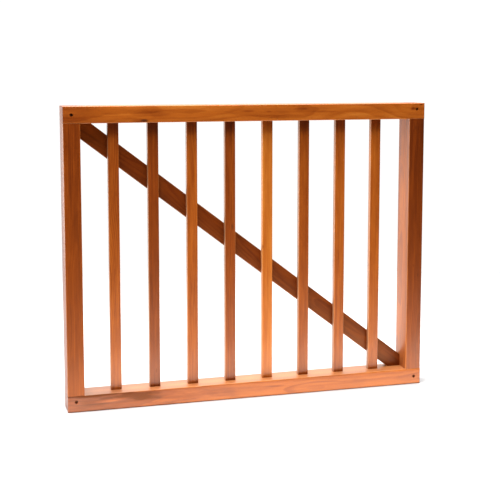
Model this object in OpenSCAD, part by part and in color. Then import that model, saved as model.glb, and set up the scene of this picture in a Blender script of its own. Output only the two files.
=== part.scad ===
// Wooden slatted gate leaf.
// A rectangular hardwood frame, half-lapped and screwed at its four corners,
// with upright slats housed in both rails and one diagonal brace behind them.
// Frame: the origin is the centre of the hinge stile's outer face. +X points
// out of that face, so the leaf lies at negative X. The front is -Y, +Z is up.

/* [Leaf] */
// Overall width of the leaf, along X
leaf_w = 1000; // [900:5:1200]
// Overall height of the leaf, along Z
leaf_h = 800; // [700:5:1000]

/* [Frame] */
// Face width of the stiles and rails, as seen from the front
frame_face = 44; // [38:1:60]
// Depth of the stiles and rails, front to back
frame_depth = 72; // [66:2:90]
// Radius of the rounding along every long edge
arris = 1.5; // [0.5:0.1:3]

/* [Slats] */
// Face width of a slat
slat_w = 29; // [20:1:40]
// Thickness of a slat, front to back
slat_t = 15; // [12:1:20]
// Distance from one slat's centre to the next
slat_pitch = 105; // [80:1:105]
// Distance that a slat's front stands behind the frame's front
slat_setback = 30; // [20:0.5:34]
// Depth of the housings that hold the slats' ends in the rails
housing = 12; // [6:1:18]

/* [Brace] */
// Width of the brace, square to its length
brace_w = 49; // [40:1:60]
// Thickness of the brace, front to back
brace_t = 20; // [16:1:22]
// Height of the brace's centre line under the inner corner at the latch stile
brace_drop = 7; // [0:0.5:12]
// Height of the brace's centre line over the inner corner at the hinge stile
brace_rise = 2; // [0:0.5:12]

/* [Corner screws] */
// Diameter of the counterbore that the screw head sits in
bore_d = 8.6; // [7:0.1:12]
// Depth of the screw head's top under the surface
bore_depth = 4; // [2:0.5:8]
// Diameter of the screw's head
head_d = 8; // [6:0.1:10]
// Diameter of the screw's shank
shank_d = 4.8; // [3:0.1:6]
// Whole length of the screw
screw_len = 58; // [40:1:60]
// Height of the top hinge corner's screw over the joint's centre
screw_up_top_hinge = 5; // [-8:1:8]
// Height of the bottom latch corner's screw over the joint's centre
screw_up_bottom_latch = 6; // [-8:1:8]
// Distance of the bottom hinge corner's screw towards the outer face from the joint's centre
screw_out_bottom_hinge = 3; // [-8:1:8]

/* [Brace screws] */
// Diameter of a brace screw's countersunk head
small_head_d = 7; // [5:0.1:9]
// Diameter of a brace screw's shank
small_shank_d = 3.6; // [2.5:0.1:4.5]
// Whole length of a brace screw, driven from behind through the brace into a slat
small_len = 30; // [26:1:32]

/* [Hidden] */
$fn = 48;

slat_count = 8;
y_front = -frame_depth / 2;
half_h = leaf_h / 2;
in_x0 = -leaf_w + frame_face;          // inner face of the latch stile
in_x1 = -frame_face;                   // inner face of the hinge stile
in_z = half_h - frame_face;            // underside of the top rail
slat_y0 = y_front + slat_setback;      // slats' front plane
slat_y1 = slat_y0 + slat_t;            // slats' back, where the brace lies
slat_mid = -leaf_w / 2;
first_slat = slat_mid - slat_pitch * (slat_count - 1) / 2;
head_h = 3.2;                          // height of the countersunk head
pilot_d = shank_d + 0.1;

// Screw places, [x, z]: the hand-driven screws stand a little off the joints' centres
off = frame_face / 2;
screw_top_latch = [-leaf_w + off, half_h - off];
screw_top_hinge = [-off, half_h - off + screw_up_top_hinge];
screw_bottom_latch = [-leaf_w + off, -half_h + off + screw_up_bottom_latch];
screw_bottom_hinge = [-off + screw_out_bottom_hinge, -half_h + off];

// Brace centre line, from the latch stile's top corner to the hinge stile's bottom corner
bz0 = in_z - brace_drop;
bz1 = -in_z + brace_rise;
brace_run = in_x1 - in_x0;
brace_angle = atan2(bz1 - bz0, brace_run);
brace_long = sqrt(brace_run * brace_run + (bz0 - bz1) * (bz0 - bz1)) + 4 * brace_w;
brace_y1 = slat_y1 + brace_t;
function slat_x(i) = first_slat + (i - 1) * slat_pitch;
function brace_z(x) = bz0 + (x - in_x0) * (bz1 - bz0) / brace_run;
small_head_h = 2.2;                    // height of a brace screw's head
small_sink = 0.4;                      // how far that head lies under the brace's back

rail_wood = "#a8602c";
stile_wood = "#8c4416";
slat_wood = "#96501c";
brace_wood = "#6a2c10";
screw_metal = "#3c2a20";

// Section of a planed board, w by t, with its four long edges rounded
module section(w, t, r = arris)
    polygon([for (k = [0 : 3], a = [0 : 30 : 90])
        let (cx = k == 0 || k == 3 ? w - r : r, cy = k < 2 ? t - r : r)
            [cx + r * cos(90 * k + a), cy + r * sin(90 * k + a)]]);

// Board along X: from x0, length l, its section w in Z and t in Y
module board_x(x0, l, y0, t, z0, w)
    translate([x0, y0, z0]) rotate([90, 0, 90]) linear_extrude(l) section(t, w);

// Board along Z: from z0, length l, its section w in X and t in Y
module board_z(x0, w, y0, t, z0, l)
    translate([x0, y0, z0]) linear_extrude(l) section(w, t);

// Hole for one corner screw, drilled from the front: a counterbore that ends in
// the countersunk seat of the head, then a pilot hole
module screw_hole(p)
    translate([p[0], y_front, p[1]]) rotate([-90, 0, 0])
        rotate_extrude()
            polygon([[0, -1], [bore_d / 2, -1], [bore_d / 2, bore_depth + 1],
                     [head_d / 2, bore_depth + 1],
                     [pilot_d / 2, bore_depth + 1 + (head_h - 1) * (head_d - pilot_d) / (head_d - shank_d)],
                     [pilot_d / 2, bore_depth + screw_len], [0, bore_depth + screw_len + 1]]);

module corner_holes()
    for (p = [screw_top_latch, screw_top_hinge, screw_bottom_latch, screw_bottom_hinge])
        screw_hole(p);

// Pockets for the slats' ends; side is 1 under the top rail, -1 over the bottom rail
module housings(side)
    for (i = [0 : slat_count - 1])
        translate([slat_x(i + 1) - slat_w / 2, slat_y0,
                   side > 0 ? in_z - 1 : -in_z - housing])
            cube([slat_w, slat_t, housing + 1]);

// A rail runs over both stiles in front: its back half is cut away at each end
module rail(side) {
    z0 = side > 0 ? in_z : -half_h;
    difference() {
        board_x(-leaf_w, leaf_w, y_front, frame_depth, z0, frame_face);
        for (x = [-leaf_w - 1, in_x1])
            translate([x, 0, z0 - 1])
                cube([frame_face + 1, frame_depth, frame_face + 2]);
        housings(side);
        corner_holes();
    }
}

// A stile runs the full height behind: its front half is cut away at each end
module stile(x0) {
    difference() {
        board_z(x0, frame_face, y_front, frame_depth, -half_h, leaf_h);
        for (z = [-half_h - 1, in_z])
            translate([x0 - 1, -frame_depth, z])
                cube([frame_face + 2, frame_depth, frame_face + 1]);
        corner_holes();
    }
}

// Outline of a countersunk hole with its mouth at 0 and its drill going along +Y
function sunk_hole(head, shank, sink, head_h, depth) =
    [[0, -1], [head / 2 + 0.1, -1], [head / 2 + 0.1, sink + 0.4], [head / 2, sink + 0.4],
     [shank / 2 + 0.05, sink + 0.4 + (head_h - 0.4) * (head - shank - 0.1) / (head - shank)],
     [shank / 2 + 0.05, depth], [0, depth + 1]];

// Hole for the screw where slat i crosses the brace, drilled from behind
module brace_screw_hole(i)
    translate([slat_x(i), brace_y1, brace_z(slat_x(i))]) rotate([90, 0, 0])
        rotate_extrude()
            polygon(sunk_hole(small_head_d, small_shank_d, small_sink, small_head_h,
                              small_sink + small_len));

module slat(i)
    color(slat_wood)
        difference() {
            board_z(slat_x(i) - slat_w / 2, slat_w, slat_y0, slat_t,
                    -in_z - housing, 2 * (in_z + housing));
            brace_screw_hole(i);
        }

// The brace bears on both stiles and both rails, so each end comes to a point
module brace()
    color(brace_wood)
        difference() {
            intersection() {
                translate([in_x0, slat_y1, bz0]) rotate([0, -brace_angle, 0])
                    board_x(-2 * brace_w, brace_long, 0, brace_t, -brace_w / 2, brace_w);
                translate([in_x0, slat_y1 - 1, -in_z])
                    cube([brace_run, brace_t + 2, 2 * in_z]);
            }
            for (i = [1 : slat_count]) brace_screw_hole(i);
        }

// Countersunk wood screw with a square drive, head towards -Y
module corner_screw(p)
    color(screw_metal)
        translate([p[0], y_front + bore_depth, p[1]]) rotate([-90, 0, 0])
            difference() {
                rotate_extrude()
                    polygon([[0, 0], [head_d / 2 - 0.6, 0], [head_d / 2, 0.6],
                             [head_d / 2, 1], [shank_d / 2, head_h],
                             [shank_d / 2, screw_len - 6], [0, screw_len]]);
                translate([-1.3, -1.3, -1]) cube([2.6, 2.6, 3]);
            }

// Countersunk wood screw with a square drive, head towards +Y
module brace_screw(i)
    color(screw_metal)
        translate([slat_x(i), brace_y1 - small_sink, brace_z(slat_x(i))]) rotate([90, 0, 0])
            difference() {
                rotate_extrude()
                    polygon([[0, 0], [small_head_d / 2 - 0.3, 0], [small_head_d / 2, 0.3],
                             [small_head_d / 2, 0.4], [small_shank_d / 2, small_head_h],
                             [small_shank_d / 2, small_len - 5], [0, small_len]]);
                translate([-1.1, -1.1, -1]) cube([2.2, 2.2, 2.4]);
            }

color(rail_wood) rail(1);  // top_rail
color(rail_wood) rail(-1);  // bottom_rail
color(stile_wood) stile(-leaf_w);  // latch_stile
color(stile_wood) stile(in_x1);  // hinge_stile
slat(1);  // slat_1
slat(2);  // slat_2
slat(3);  // slat_3
slat(4);  // slat_4
slat(5);  // slat_5
slat(6);  // slat_6
slat(7);  // slat_7
slat(8);  // slat_8
brace();  // diagonal_brace
corner_screw(screw_top_latch);  // corner_screw_top_latch
corner_screw(screw_top_hinge);  // corner_screw_top_hinge
corner_screw(screw_bottom_latch);  // corner_screw_bottom_latch
corner_screw(screw_bottom_hinge);  // corner_screw_bottom_hinge
brace_screw(1);  // brace_screw_1
brace_screw(2);  // brace_screw_2
brace_screw(3);  // brace_screw_3
brace_screw(4);  // brace_screw_4
brace_screw(5);  // brace_screw_5
brace_screw(6);  // brace_screw_6
brace_screw(7);  // brace_screw_7
brace_screw(8);  // brace_screw_8
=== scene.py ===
import math

import bpy
from mathutils import Matrix, Vector


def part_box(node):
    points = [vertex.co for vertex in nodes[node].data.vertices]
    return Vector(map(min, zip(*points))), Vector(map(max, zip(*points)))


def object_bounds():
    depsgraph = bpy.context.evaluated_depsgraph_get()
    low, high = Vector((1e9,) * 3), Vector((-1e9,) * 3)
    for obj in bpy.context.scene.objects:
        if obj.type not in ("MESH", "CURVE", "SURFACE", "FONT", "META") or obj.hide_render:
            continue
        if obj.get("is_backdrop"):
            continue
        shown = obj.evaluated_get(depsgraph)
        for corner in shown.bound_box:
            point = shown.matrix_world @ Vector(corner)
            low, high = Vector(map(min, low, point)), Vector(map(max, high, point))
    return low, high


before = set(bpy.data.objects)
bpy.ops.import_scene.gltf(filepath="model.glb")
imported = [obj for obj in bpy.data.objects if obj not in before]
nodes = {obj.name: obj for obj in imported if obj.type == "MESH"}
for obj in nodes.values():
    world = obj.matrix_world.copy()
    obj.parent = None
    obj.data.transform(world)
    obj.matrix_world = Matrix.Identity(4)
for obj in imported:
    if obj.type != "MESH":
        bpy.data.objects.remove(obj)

cad_lo, cad_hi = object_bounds()
scene = bpy.context.scene

# ---------------------------------------------------------------- camera
# Level lens axis 6.4 degrees down, 16 degrees round from the leaf's face.
CAM_AT = (-1.3128, -2.8352, 0.4976)
CAM_YAW, CAM_PITCH, CAM_ROLL = math.radians(16.085), math.radians(6.40), math.radians(-0.01)
cam_data = bpy.data.cameras.new("camera")
cam_data.sensor_width = 36.0
cam_data.lens = 78.78
cam_data.shift_y = -0.1192
cam_data.clip_start, cam_data.clip_end = 0.05, 60.0
cam = bpy.data.objects.new("camera", cam_data)
scene.collection.objects.link(cam)
fwd = Vector((math.sin(CAM_YAW) * math.cos(CAM_PITCH), math.cos(CAM_YAW) * math.cos(CAM_PITCH), -math.sin(CAM_PITCH)))
right = Vector((math.cos(CAM_YAW), -math.sin(CAM_YAW), 0.0))
up = right.cross(fwd)
right, up = (right * math.cos(CAM_ROLL) - up * math.sin(CAM_ROLL),
             up * math.cos(CAM_ROLL) + right * math.sin(CAM_ROLL))
m = Matrix((right, up, -fwd)).transposed().to_4x4()
m.translation = Vector(CAM_AT)
cam.matrix_world = m
scene.camera = cam
scene.view_settings.view_transform = "Standard"
scene.view_settings.look = "None"


# ---------------------------------------------------------------- node helpers
class Tree:
    """Short calls for building one node tree."""

    def __init__(self, tree):
        self.t = tree
        self.x = 0

    def add(self, kind, **props):
        n = self.t.nodes.new(kind)
        self.x += 40
        n.location = (self.x, -(self.x % 600))
        for k, v in props.items():
            setattr(n, k, v)
        return n

    def put(self, socket, value):
        if isinstance(value, bpy.types.NodeSocket):
            self.t.links.new(value, socket)
        elif value is not None:
            socket.default_value = value

    def math(self, op, a, b=None, c=None, clamp=False):
        n = self.add("ShaderNodeMath", operation=op, use_clamp=clamp)
        for s, v in zip(n.inputs, (a, b, c)):
            self.put(s, v)
        return n.outputs[0]

    def vec(self, op, a, b=None):
        n = self.add("ShaderNodeVectorMath", operation=op)
        self.put(n.inputs[0], a)
        if b is not None:
            self.put(n.inputs[1], b)
        return n.outputs["Value"] if op in ("LENGTH", "DISTANCE", "DOT_PRODUCT") else n.outputs[0]

    def xyz(self, x, y, z):
        n = self.add("ShaderNodeCombineXYZ")
        for s, v in zip(n.inputs, (x, y, z)):
            self.put(s, v)
        return n.outputs[0]

    def noise(self, vector, scale, detail=2.0, rough=0.5, dims="3D", w=None, distortion=0.0):
        n = self.add("ShaderNodeTexNoise", noise_dimensions=dims)
        self.put(n.inputs["Vector"], vector)
        self.put(n.inputs["Scale"], scale)
        self.put(n.inputs["Detail"], detail)
        self.put(n.inputs["Roughness"], rough)
        self.put(n.inputs["Distortion"], distortion)
        if w is not None:
            self.put(n.inputs["W"], w)
        return n.outputs["Fac"]

    def range(self, value, a, b, lo=0.0, hi=1.0, smooth=True):
        n = self.add("ShaderNodeMapRange", interpolation_type="SMOOTHSTEP" if smooth else "LINEAR")
        for s, v in zip(n.inputs[:5], (value, a, b, lo, hi)):
            self.put(s, v)
        return n.outputs[0]

    def mix(self, fac, a, b, mode="MIX"):
        n = self.add("ShaderNodeMix", data_type="RGBA", blend_type=mode)
        n.clamp_factor = True
        self.put(n.inputs[0], fac)
        for s, v in ((n.inputs[6], a), (n.inputs[7], b)):
            self.put(s, (*v, 1.0) if isinstance(v, (tuple, list)) and len(v) == 3 else v)
        return n.outputs[2]

    def ramp(self, fac, stops):
        n = self.add("ShaderNodeValToRGB")
        e = n.color_ramp.elements
        while len(e) < len(stops):
            e.new(0.5)
        for k, (p, c) in enumerate(stops):
            e[k].position = p
            e[k].color = (*c, 1.0)
        self.put(n.inputs[0], fac)
        return n.outputs[0]


def new_material(name):
    mat = bpy.data.materials.new(name)
    mat.use_nodes = True
    t = Tree(mat.node_tree)
    mat.node_tree.nodes.clear()
    out = t.add("ShaderNodeOutputMaterial")
    bsdf = t.add("ShaderNodeBsdfPrincipled")
    t.t.links.new(bsdf.outputs[0], out.inputs[0])
    return mat, t, bsdf


# ---------------------------------------------------------------- wood
TONES = [(0.00, (0.075, 0.0085, 0.0004)), (0.28, (0.180, 0.029, 0.0013)),
         (0.56, (0.340, 0.078, 0.0060)), (1.00, (0.620, 0.225, 0.0320))]


def wood(name, centre, size, angle, seed, pith, lift=0.0, ring=0.0032, streak=1.0, late_k=0.22,
         marks=(), ends=True, shade=(), flank=None, coat=0.50):
    """Oiled reddish timber of one member, in its own coordinates: L along the grain,
    A across the face seen from the front, B from front to back.
    centre and size (L, A, B) are in metres; angle turns L from X towards Z.
    lift moves the whole member up or down the colour ramp; each ramp along the grain, a tone change on some pieces
    and painted shade on others, is (from L, to L, strength), and the painted side light (from A, to A, strength,
    bleach) makes one side paler or darker for the light it catches, bleach pulling it towards a pale pink sheen.
    marks: (kind, L, A, radius along, radius across, strength)."""
    mat, t, bsdf = new_material(name)
    tc = t.add("ShaderNodeTexCoord")
    rot = Matrix.Rotation(angle, 3, "Y")
    mp = t.add("ShaderNodeMapping", vector_type="POINT")
    mp.inputs["Rotation"].default_value = (0.0, angle, 0.0)
    mp.inputs["Location"].default_value = -(rot @ Vector(centre))
    t.put(mp.inputs["Vector"], tc.outputs["Object"])
    # local x = L, y = B (depth), z = A
    sep = t.add("ShaderNodeSeparateXYZ")
    t.put(sep.inputs[0], mp.outputs[0])
    L, B, A = sep.outputs[0], sep.outputs[1], sep.outputs[2]
    s1, s2, s3 = seed * 7.31, seed * 3.17 + 11.0, seed * 5.53 + 23.0

    def stretched(along, across, off):
        return t.xyz(t.math("MULTIPLY_ADD", L, along, off),
                     t.math("MULTIPLY_ADD", B, across, off * 0.37),
                     t.math("MULTIPLY_ADD", A, across, off * 0.71))

    # knots bend the grain: push A away from the knot's core
    bend_a = None
    knot_dark = None
    patch = None
    for kind, l0, a0, rl, ra, k in marks:
        dl = t.math("DIVIDE", t.math("SUBTRACT", L, l0), rl)
        da = t.math("DIVIDE", t.math("SUBTRACT", A, a0), ra)
        d = t.math("SQRT", t.math("ADD", t.math("MULTIPLY", dl, dl), t.math("MULTIPLY", da, da)))
        if kind == "knot":
            halo = t.range(d, 0.6, 3.2, 1.0, 0.0)
            push = t.math("MULTIPLY", t.math("MULTIPLY", halo, da), ra * 1.6 * k)
            bend_a = push if bend_a is None else t.math("ADD", bend_a, push)
            core = t.math("MULTIPLY", t.range(d, 0.35, 1.25, 1.0, 0.0), k)
            knot_dark = core if knot_dark is None else t.math("MAXIMUM", knot_dark, core)
        else:
            jitter = t.math("MULTIPLY_ADD", t.noise(stretched(30, 160, s2 + l0), 1.0, 2.0), 0.9, -0.45)
            soft = t.math("MULTIPLY", t.range(t.math("ADD", d, jitter), 0.15, 1.15, 1.0, 0.0), abs(k))
            if k < 0:
                soft = t.math("MULTIPLY", soft, -1.0)
            patch = soft if patch is None else t.math("ADD", patch, soft)

    # growth rings: a cylinder about a wandering pith outside the board
    wa = t.math("MULTIPLY_ADD", t.noise(stretched(2.2, 7.0, s1), 1.0, 2.0), 0.05, -0.025)
    wb = t.math("MULTIPLY_ADD", t.noise(stretched(1.6, 6.0, s2), 1.0, 2.0), 0.05, -0.025)
    ra_ = t.math("ADD", t.math("SUBTRACT", A, pith[0]), wa)
    if bend_a is not None:
        ra_ = t.math("ADD", ra_, bend_a)
    rb_ = t.math("ADD", t.math("SUBTRACT", B, pith[1]), wb)
    radius = t.math("SQRT", t.math("ADD", t.math("MULTIPLY", ra_, ra_), t.math("MULTIPLY", rb_, rb_)))
    wobble = t.math("MULTIPLY_ADD", t.noise(stretched(9.0, 60.0, s3), 1.0, 3.0), 0.0024, -0.0012)
    phase = t.math("DIVIDE", t.math("ADD", radius, wobble), ring)
    # rings are not all equally wide
    phase = t.math("ADD", phase, t.math("MULTIPLY", t.noise(t.xyz(phase, 0.0, s1), 0.23, 1.0), 1.6))
    saw = t.math("FRACT", phase)
    late = t.math("MULTIPLY", t.range(saw, 0.35, 0.9), t.range(saw, 0.93, 1.0, 1.0, 0.0))
    ring_id = t.math("FLOOR", phase)
    ring_tone = t.noise(t.xyz(ring_id, s2, 0.0), 0.83, 0.0)

    # broad colour bands, streaks and fine fibre
    broad = t.noise(stretched(1.3, 22.0, s1 + 3), 1.0, 2.0, 0.55)
    streaks = t.noise(stretched(5.5, 150.0, s2 + 5), 1.0, 3.0, 0.6)
    flame = t.noise(stretched(14.0, 90.0, s3 + 9), 1.0, 2.0, 0.5, distortion=0.6)
    fibre = t.noise(stretched(26.0, 1500.0, s1 + 7), 1.0, 3.0, 0.65)
    pores = t.noise(stretched(170.0, 2600.0, s2 + 2), 1.0, 1.0, 0.5)
    pore = t.range(pores, 0.66, 0.74)

    tone = t.math("MULTIPLY_ADD", broad, 0.62 * streak, 0.5 - 0.31 * streak)
    tone = t.math("ADD", tone, t.math("MULTIPLY_ADD", streaks, 0.42 * streak, -0.21 * streak))
    tone = t.math("ADD", tone, t.math("MULTIPLY_ADD", flame, 0.26 * streak, -0.13 * streak))
    tone = t.math("ADD", tone, t.math("MULTIPLY_ADD", ring_tone, 0.20, -0.10))
    tone = t.math("SUBTRACT", tone, t.math("MULTIPLY", late, late_k))
    tone = t.math("ADD", tone, t.math("MULTIPLY_ADD", fibre, 0.16, -0.08 + lift), clamp=False)
    # painted light and shade: one side of the piece is made paler or darker for the light that side catches
    if flank is not None:
        tone = t.math("ADD", tone, t.range(A, flank[0], flank[1], 0.0, flank[2]))
    # each ramp darkens or lightens the tone towards one part of the piece along its grain; darkening a slat's ends
    # under the rails is painted shade, on the rails' latch ends it is a darker tone
    for at, fade, k in shade:
        tone = t.math("ADD", tone, t.range(L, at, fade, k, 0.0))
    if patch is not None:
        if flank is not None:
            # the figure of the front fades on the side painted paler
            patch = t.math("MULTIPLY", patch, t.range(A, flank[0], flank[1], 1.0, 0.30))
        tone = t.math("SUBTRACT", tone, patch)
    tone = t.math("ADD", tone, 0.0, clamp=True)
    col = t.ramp(tone, TONES)
    # painted light and sheen: that side is pulled towards a pale pink, for the light and sheen it catches
    if flank is not None and flank[3] > 0:
        col = t.mix(t.range(A, flank[0], flank[1], 0.0, flank[3]), col, (0.80, 0.50, 0.28))
    if knot_dark is not None:
        col = t.mix(knot_dark, col, (0.055, 0.010, 0.003))
    col = t.mix(t.math("MULTIPLY", pore, 0.45), col, tuple(c * 0.35 for c in TONES[0][1]))

    # worn arrises: paler along the long edges, broken up by noise
    ha, hb = size[1] / 2, size[2] / 2
    ea = t.math("SUBTRACT", ha, t.math("ABSOLUTE", A))
    eb = t.math("SUBTRACT", hb, t.math("ABSOLUTE", B))
    edge = t.math("MAXIMUM", ea, eb)
    nick = t.noise(stretched(22.0, 120.0, s3 + 4), 1.0, 3.0, 0.6)
    reach = t.math("MULTIPLY_ADD", nick, 0.0032, 0.0001)
    worn = t.math("MULTIPLY", t.range(edge, 0.0, reach, 1.0, 0.0), 0.35)
    if patch is not None:
        worn = t.math("MULTIPLY", worn, t.range(patch, 0.06, 0.24, 1.0, 0.0))
    col = t.mix(worn, col, (0.78, 0.30, 0.060))

    # end grain drinks more oil
    if ends:
        el = t.math("SUBTRACT", size[0] / 2, t.math("ABSOLUTE", L))
        cut = t.range(el, 0.0002, 0.0010, 1.0, 0.0)
        endcol = t.mix(late, (0.200, 0.036, 0.0040), (0.070, 0.011, 0.0012))
        speck = t.noise(t.xyz(0.0, t.math("MULTIPLY", B, 1400.0), t.math("MULTIPLY", A, 1400.0)), 1.0, 2.0)
        endcol = t.mix(t.range(speck, 0.45, 0.75, 0.0, 0.6), endcol, (0.035, 0.006, 0.001))
        col = t.mix(cut, col, endcol)
    else:
        cut = None

    t.put(bsdf.inputs["Base Color"], col)

    rough = t.math("MULTIPLY_ADD", fibre, 0.16, 0.34)
    rough = t.math("ADD", rough, t.math("MULTIPLY", late, -0.05))
    rough = t.math("ADD", rough, t.math("MULTIPLY_ADD", streaks, 0.12, -0.02))
    if cut is not None:
        rough = t.math("ADD", rough, t.math("MULTIPLY", cut, 0.25))
    t.put(bsdf.inputs["Roughness"], rough)
    bsdf.inputs["IOR"].default_value = 1.5
    bsdf.inputs["Specular Tint"].default_value = (1.0, 0.50, 0.16, 1.0)
    bsdf.inputs["Coat Weight"].default_value = coat
    if patch is not None:
        # dark figure is resinous and takes the oil badly
        t.put(bsdf.inputs["Coat Weight"], t.range(patch, 0.05, 0.50, coat, coat * 0.25))
    bsdf.inputs["Coat Roughness"].default_value = 0.22
    bsdf.inputs["Coat IOR"].default_value = 1.5

    height = t.math("MULTIPLY", late, 0.35)
    height = t.math("ADD", height, t.math("MULTIPLY", fibre, 0.6))
    height = t.math("SUBTRACT", height, t.math("MULTIPLY", pore, 0.7))
    bump = t.add("ShaderNodeBump")
    bump.inputs["Strength"].default_value = 0.35
    bump.inputs["Distance"].default_value = 0.00025
    t.put(bump.inputs["Height"], height)
    t.put(bsdf.inputs["Normal"], bump.outputs[0])
    return mat


def metal(name, colour, rough, centre_hint):
    mat, t, bsdf = new_material(name)
    tc = t.add("ShaderNodeTexCoord")
    blot = t.noise(tc.outputs["Object"], 900.0, 3.0, 0.6)
    col = t.ramp(blot, [(0.3, tuple(c * 0.55 for c in colour)), (0.7, colour)])
    t.put(bsdf.inputs["Base Color"], col)
    bsdf.inputs["Metallic"].default_value = 1.0
    t.put(bsdf.inputs["Roughness"], t.math("MULTIPLY_ADD", blot, 0.25, rough))
    bump = t.add("ShaderNodeBump")
    bump.inputs["Strength"].default_value = 0.3
    bump.inputs["Distance"].default_value = 0.0001
    t.put(bump.inputs["Height"], blot)
    t.put(bsdf.inputs["Normal"], bump.outputs[0])
    return mat


# ---------------------------------------------------------------- shading of the CAD pieces
def smoother():
    """Joins the split corners and shades the rounded arrises smooth, faces flat."""
    g = bpy.data.node_groups.new("smooth_arrises", "GeometryNodeTree")
    g.interface.new_socket("Geometry", in_out="INPUT", socket_type="NodeSocketGeometry")
    g.interface.new_socket("Geometry", in_out="OUTPUT", socket_type="NodeSocketGeometry")
    n = g.nodes
    i, o = n.new("NodeGroupInput"), n.new("NodeGroupOutput")
    merge = n.new("GeometryNodeMergeByDistance")
    merge.inputs["Distance"].default_value = 0.000002
    s1 = n.new("GeometryNodeSetShadeSmooth")
    s1.domain = "FACE"
    s1.inputs["Shade Smooth"].default_value = True
    ang = n.new("GeometryNodeInputMeshEdgeAngle")
    cmp_ = n.new("FunctionNodeCompare")
    cmp_.data_type = "FLOAT"
    cmp_.operation = "GREATER_THAN"
    cmp_.inputs[1].default_value = math.radians(35)
    s2 = n.new("GeometryNodeSetShadeSmooth")
    s2.domain = "EDGE"
    s2.inputs["Shade Smooth"].default_value = False
    k = g.links.new
    k(i.outputs[0], merge.inputs["Geometry"])
    k(merge.outputs[0], s1.inputs["Geometry"])
    k(s1.outputs[0], s2.inputs["Geometry"])
    k(ang.outputs[0], cmp_.inputs[0])
    k(cmp_.outputs[0], s2.inputs["Selection"])
    k(s2.outputs[0], o.inputs[0])
    return g


SMOOTH = smoother()


def dress(node, mat):
    o = nodes[node]
    me = o.data
    if "custom_normal" in me.attributes:
        me.attributes.remove(me.attributes["custom_normal"])
    md = o.modifiers.new("smooth_arrises", "NODES")
    md.node_group = SMOOTH
    for s in range(len(me.materials)):
        me.materials[s] = mat


def span(node):
    lo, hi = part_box(node)
    return (lo + hi) / 2, hi - lo


# ---------------------------------------------------------------- the members
def member(node, angle, seed, pith, **kw):
    c, s = span(node)
    size = (s.x, s.z, s.y) if angle == 0.0 else (s.z, s.x, s.y)
    dress(node, wood(node + "_wood", c, size, angle, seed, pith, **kw))


UP = math.radians(90)
member("top_rail", 0.0, 1.0, (0.010, 0.085), lift=0.06, ring=0.0042, late_k=0.08, streak=0.6,
       shade=((-0.480, -0.370, -0.17),), marks=(
    ("knot", -0.290, -0.0165, 0.011, 0.0042, 0.95), ("patch", -0.302, -0.0170, 0.026, 0.005, 0.22),
    ("patch", -0.375, 0.0010, 0.026, 0.0022, 0.20), ("patch", -0.265, 0.002, 0.060, 0.012, 0.20),
    ("patch", -0.010, 0.0050, 0.022, 0.0030, 0.18), ("patch", 0.045, 0.0030, 0.010, 0.0026, 0.16),
    ("patch", 0.140, 0.0090, 0.024, 0.0060, 0.17), ("patch", 0.205, 0.0020, 0.045, 0.0040, 0.14),
    ("patch", 0.465, 0.0060, 0.010, 0.0050, 0.30), ("patch", 0.490, 0.0180, 0.006, 0.0030, 0.30),
    ("patch", -0.070, -0.006, 0.060, 0.006, -0.12), ("patch", 0.300, -0.006, 0.070, 0.007, -0.10),
    ("patch", 0.080, 0.000, 0.035, 0.018, 0.08), ("patch", 0.420, -0.002, 0.060, 0.022, -0.07)))
# painted light on the bottom rail: its top face is paler and pulled towards pale pink, for the light and sheen it
# catches
member("bottom_rail", 0.0, 2.0, (-0.006, -0.090), lift=-0.04, ring=0.0040, late_k=0.10, streak=0.7,
       shade=((-0.500, -0.300, -0.17),), flank=(0.0212, 0.0219, 0.13, 0.16), marks=(
    ("patch", -0.290, 0.0020, 0.270, 0.0320, 0.23), ("patch", -0.450, -0.002, 0.060, 0.0200, 0.08),
    # the second mark on the next line, a dark line along the top front arris at the latch end, is painted shade of
    # that arris
    ("patch", 0.380, 0.0000, 0.110, 0.0300, -0.07), ("patch", -0.425, 0.0200, 0.095, 0.0050, 0.60),
    ("patch", -0.330, 0.0125, 0.085, 0.0085, 0.34), ("patch", -0.300, 0.0020, 0.050, 0.0065, 0.26),
    ("patch", -0.385, 0.0010, 0.050, 0.0050, -0.20),
    ("patch", 0.070, 0.0040, 0.030, 0.0030, 0.14), ("patch", 0.300, 0.0030, 0.040, 0.0030, 0.16)))
member("latch_stile", UP, 3.0, (0.090, 0.020), lift=-0.25, late_k=0.14, streak=0.8, coat=0.20, marks=(
    ("patch", 0.250, 0.0060, 0.130, 0.0035, 0.12), ("patch", 0.120, -0.004, 0.09, 0.003, 0.08)))
# painted light and shade on the hinge stile: its inner face is paler for the light it catches, its upper 340 mm
# darker
member("hinge_stile", UP, 4.0, (-0.110, 0.030), lift=-0.25, late_k=0.14, streak=0.8,
       flank=(0.0208, 0.0218, 0.21, 0.05), shade=((0.400, 0.060, -0.13),), coat=0.40, marks=(
    ("knot", 0.333, 0.0035, 0.008, 0.0030, 0.40), ("patch", -0.057, 0.0040, 0.005, 0.0012, 0.35),
    ("patch", -0.085, -0.0105, 0.005, 0.0012, 0.35)))
lifts = [-0.07, -0.19, -0.03, -0.14, 0.19, -0.12, -0.10, -0.05]
slat_marks = {
    2: (("patch", -0.312, -0.0034, 0.007, 0.0008, 0.50), ("patch", 0.20, 0.004, 0.08, 0.003, 0.10)),
    4: (("knot", 0.070, -0.0060, 0.009, 0.0030, 0.55),),
    5: (("patch", 0.011, 0.0130, 0.007, 0.0022, 0.45),),
    7: (("patch", -0.04, 0.003, 0.06, 0.002, 0.12),),
}
# painted shade on the slats: the last 45 mm under the top rail and the last 10 mm at the foot are darker; painted
# light on their latch-side face, a darker tone pulled towards pale pink
for i in range(8):
    side = 1 if i % 2 else -1
    member(f"slat_{i + 1}", UP, 10.0 + i * 1.7, (side * (0.05 + 0.01 * i), 0.03 - 0.008 * i),
           lift=lifts[i], late_k=0.14, streak=0.85, marks=slat_marks.get(i + 1, ()),
           shade=((0.357, 0.312, -0.34), (-0.357, -0.347, -0.12)), flank=(0.0132, 0.0144, -0.13, 0.19))

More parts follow.
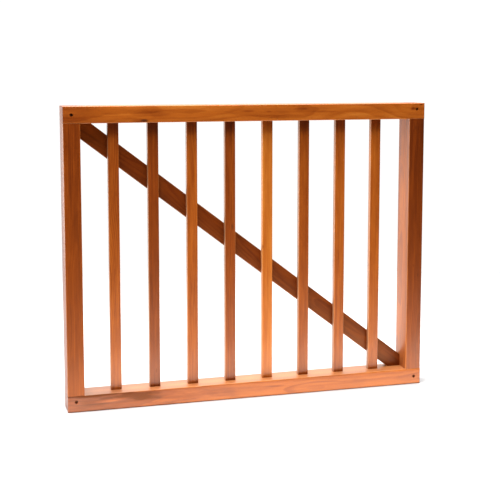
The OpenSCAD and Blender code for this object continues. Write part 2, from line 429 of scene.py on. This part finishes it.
# the brace runs down from the latch stile's top corner to the hinge stile's foot
lo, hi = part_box("diagonal_brace")
run = hi.x - lo.x
bz0, bz1 = 0.349, -0.354
phi = math.atan2(bz1 - bz0, run)
bc = Vector(((lo.x + hi.x) / 2, (lo.y + hi.y) / 2, (bz0 + bz1) / 2))
dress("diagonal_brace", wood("diagonal_brace_wood", bc, (1.4, 0.049, hi.y - lo.y), phi, 31.0,
                             (0.02, 0.11), lift=-0.44, late_k=0.08, streak=0.6, ends=False, coat=0.10,
                             shade=((-0.56, -0.42, 0.14),)))

dark_metal = metal("corner_screw_metal", (0.16, 0.050, 0.022), 0.48, None)
zinc = metal("brace_screw_metal", (0.42, 0.41, 0.38), 0.38, None)
for n in nodes:
    if n.startswith("corner_screw"):
        dress(n, dark_metal)
    elif n.startswith("brace_screw"):
        dress(n, zinc)

# ---------------------------------------------------------------- floor
# a pale studio floor that runs out softly into the white room
z0 = cad_lo.z
bpy.ops.mesh.primitive_plane_add(size=6.0, location=(-0.5, 0.25, z0 - 0.0002))
floor = bpy.context.object
floor.name = "floor"
fm, ft, fb = new_material("floor_paint")
ftc = ft.add("ShaderNodeTexCoord")
fn = ft.noise(ftc.outputs["Object"], 3.0, 3.0)
ft.put(fb.inputs["Base Color"], ft.ramp(fn, [(0.0, (0.53, 0.53, 0.53)), (1.0, (0.56, 0.56, 0.56))]))
fb.inputs["Roughness"].default_value = 0.9
fb.inputs["Specular IOR Level"].default_value = 0.1
far = ft.vec("LENGTH", ft.vec("MULTIPLY", ftc.outputs["Object"], (0.8, 1.0, 0.0)))
clear = ft.add("ShaderNodeBsdfTransparent")
fmx = ft.add("ShaderNodeMixShader")
ft.put(fmx.inputs[0], ft.range(far, 1.20, 1.95))
ft.t.links.new(fb.outputs[0], fmx.inputs[1])
ft.t.links.new(clear.outputs[0], fmx.inputs[2])
ft.t.links.new(fmx.outputs[0], [n for n in ft.t.nodes if n.type == "OUTPUT_MATERIAL"][0].inputs[0])
floor.data.materials.append(fm)
floor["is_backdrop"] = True


# ---------------------------------------------------------------- light
def area(name, at, to, size, size_y, radiance, colour=(1, 1, 1)):
    d = bpy.data.lights.new(name, "AREA")
    d.shape = "RECTANGLE"
    d.size, d.size_y = size, size_y
    d.energy = radiance * math.pi * size * size_y
    d.color = colour
    o = bpy.data.objects.new(name, d)
    o.location = at
    o.rotation_euler = (Vector(to) - Vector(at)).to_track_quat("-Z", "Y").to_euler()
    o.visible_camera = False
    scene.collection.objects.link(o)
    return o


# a wide softbox overhead, and a low white card on the floor in front that throws light up
area("softbox_top", (-0.8, -0.20, 1.80), (-0.8, -0.20, -0.4), 2.6, 2.6, 7.8)
area("floor_card", (-0.5, -0.252, z0 + 0.002), (-0.5, -0.252, 1.0), 1.7, 0.43, 3.2)
area("softbox_left", (-2.5, 1.45, 0.0), (-0.3, 0.0, 0.0), 2.4, 0.8, 3.6)

world = bpy.data.worlds.new("studio")
scene.world = world
world.use_nodes = True
wt = Tree(world.node_tree)
world.node_tree.nodes.clear()
wo = wt.add("ShaderNodeOutputWorld")
lp = wt.add("ShaderNodeLightPath")
wtc = wt.add("ShaderNodeTexCoord")
back = wt.range(wt.vec("DOT_PRODUCT", wtc.outputs["Generated"], tuple(Vector((-0.58, 0.80, 0.10)).normalized())),
                -0.30, 0.65, 0.0, 1.0)
wz = wt.add("ShaderNodeSeparateXYZ")
wt.put(wz.inputs[0], wtc.outputs["Generated"])
high = wt.math("MULTIPLY", wt.range(wz.outputs[2], 0.25, 0.95), wt.math("MULTIPLY_ADD", back, 0.5, 0.5))
# the back of the room is dimmer along the horizon than above and below it
dip = wt.range(wt.math("ABSOLUTE", wz.outputs[2]), 0.04, 0.40, 0.75, 1.50)
glow = wt.math("ADD", wt.math("MULTIPLY_ADD", back, dip, 0.02), wt.math("MULTIPLY", high, 1.0))
bg1 = wt.add("ShaderNodeBackground")
bg1.inputs["Color"].default_value = (1, 1, 1, 1)
wt.put(bg1.inputs["Strength"], glow)
bg2 = wt.add("ShaderNodeBackground")
bg2.inputs["Color"].default_value = (1, 1, 1, 1)
bg2.inputs["Strength"].default_value = 1.05
mx = wt.add("ShaderNodeMixShader")
wt.put(mx.inputs[0], lp.outputs["Is Camera Ray"])
wt.t.links.new(bg1.outputs[0], mx.inputs[1])
wt.t.links.new(bg2.outputs[0], mx.inputs[2])
wt.t.links.new(mx.outputs[0], wo.inputs[0])

lo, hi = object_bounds()
